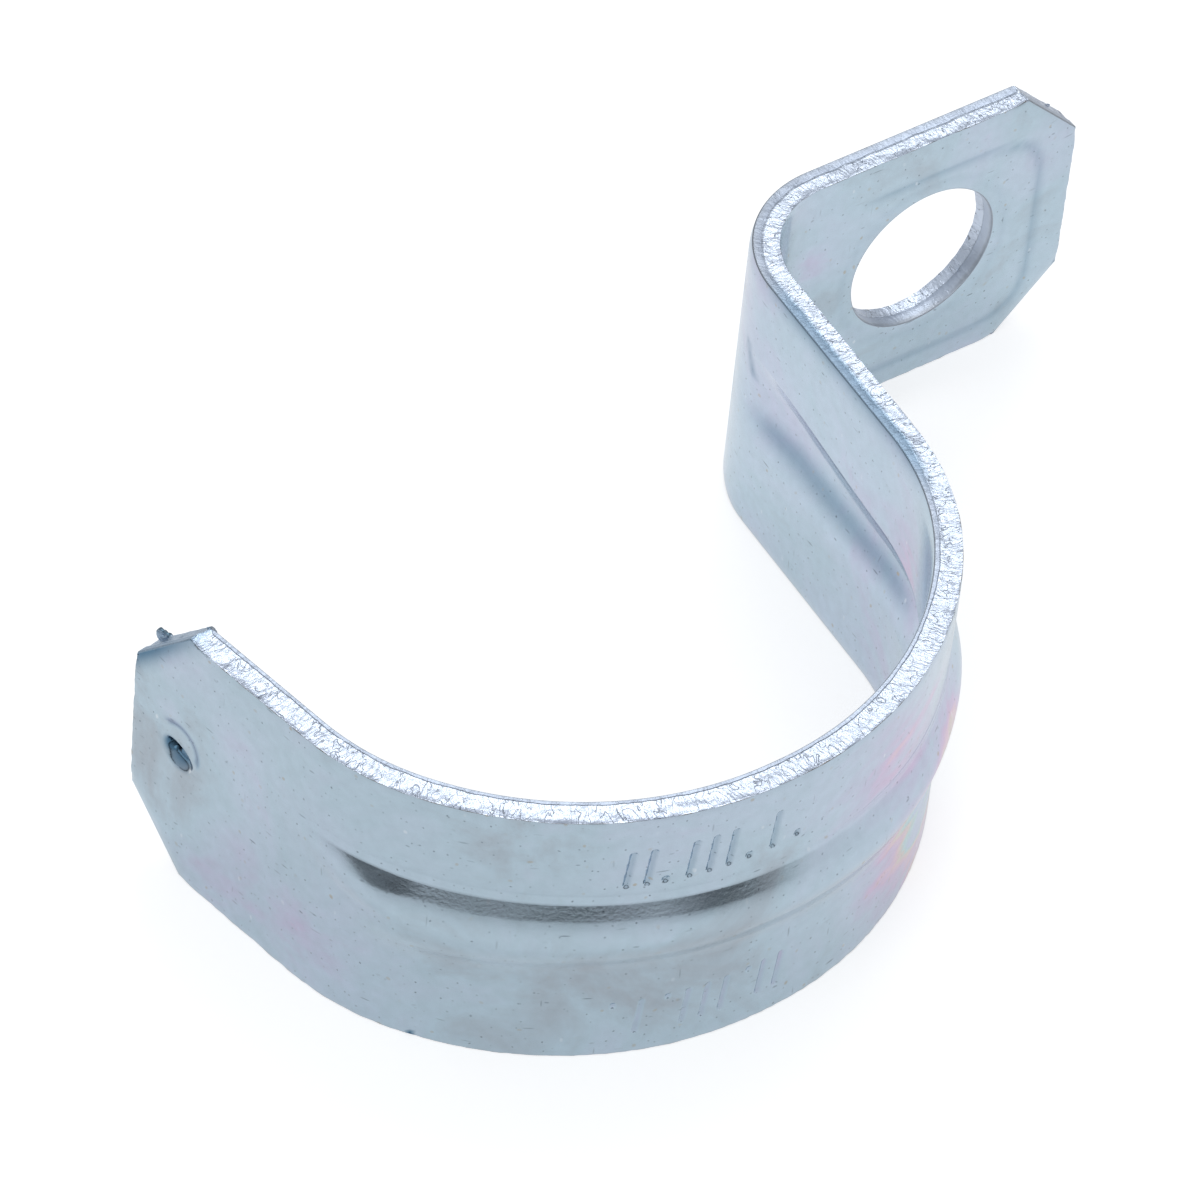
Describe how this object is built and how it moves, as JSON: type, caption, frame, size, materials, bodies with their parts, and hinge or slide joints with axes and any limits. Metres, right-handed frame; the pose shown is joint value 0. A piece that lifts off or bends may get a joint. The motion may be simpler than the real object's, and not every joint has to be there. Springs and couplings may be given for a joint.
{
  "type": "conduit strap",
  "caption": "Pressed steel one-hole strap that hooks round a heavy-wall conduit and bolts to a wall through its flat foot.",
  "frame": {"origin": "on the axis of the conduit seat, at the strap's lower sheared edge", "axes": "+Z along the conduit; +Y towards the wall the foot is fixed to; +X along the foot, away from the conduit. The strap stands on one sheared edge."},
  "size_m": [0.107, 0.0602, 0.0293],
  "materials": {
    "zinc_plate": "bright zinc plate with a faint clear passivate, satin, over pressed steel"
  },
  "bodies": {
    "root": {"strap": "zinc_plate"}
  },
  "joints": []
}
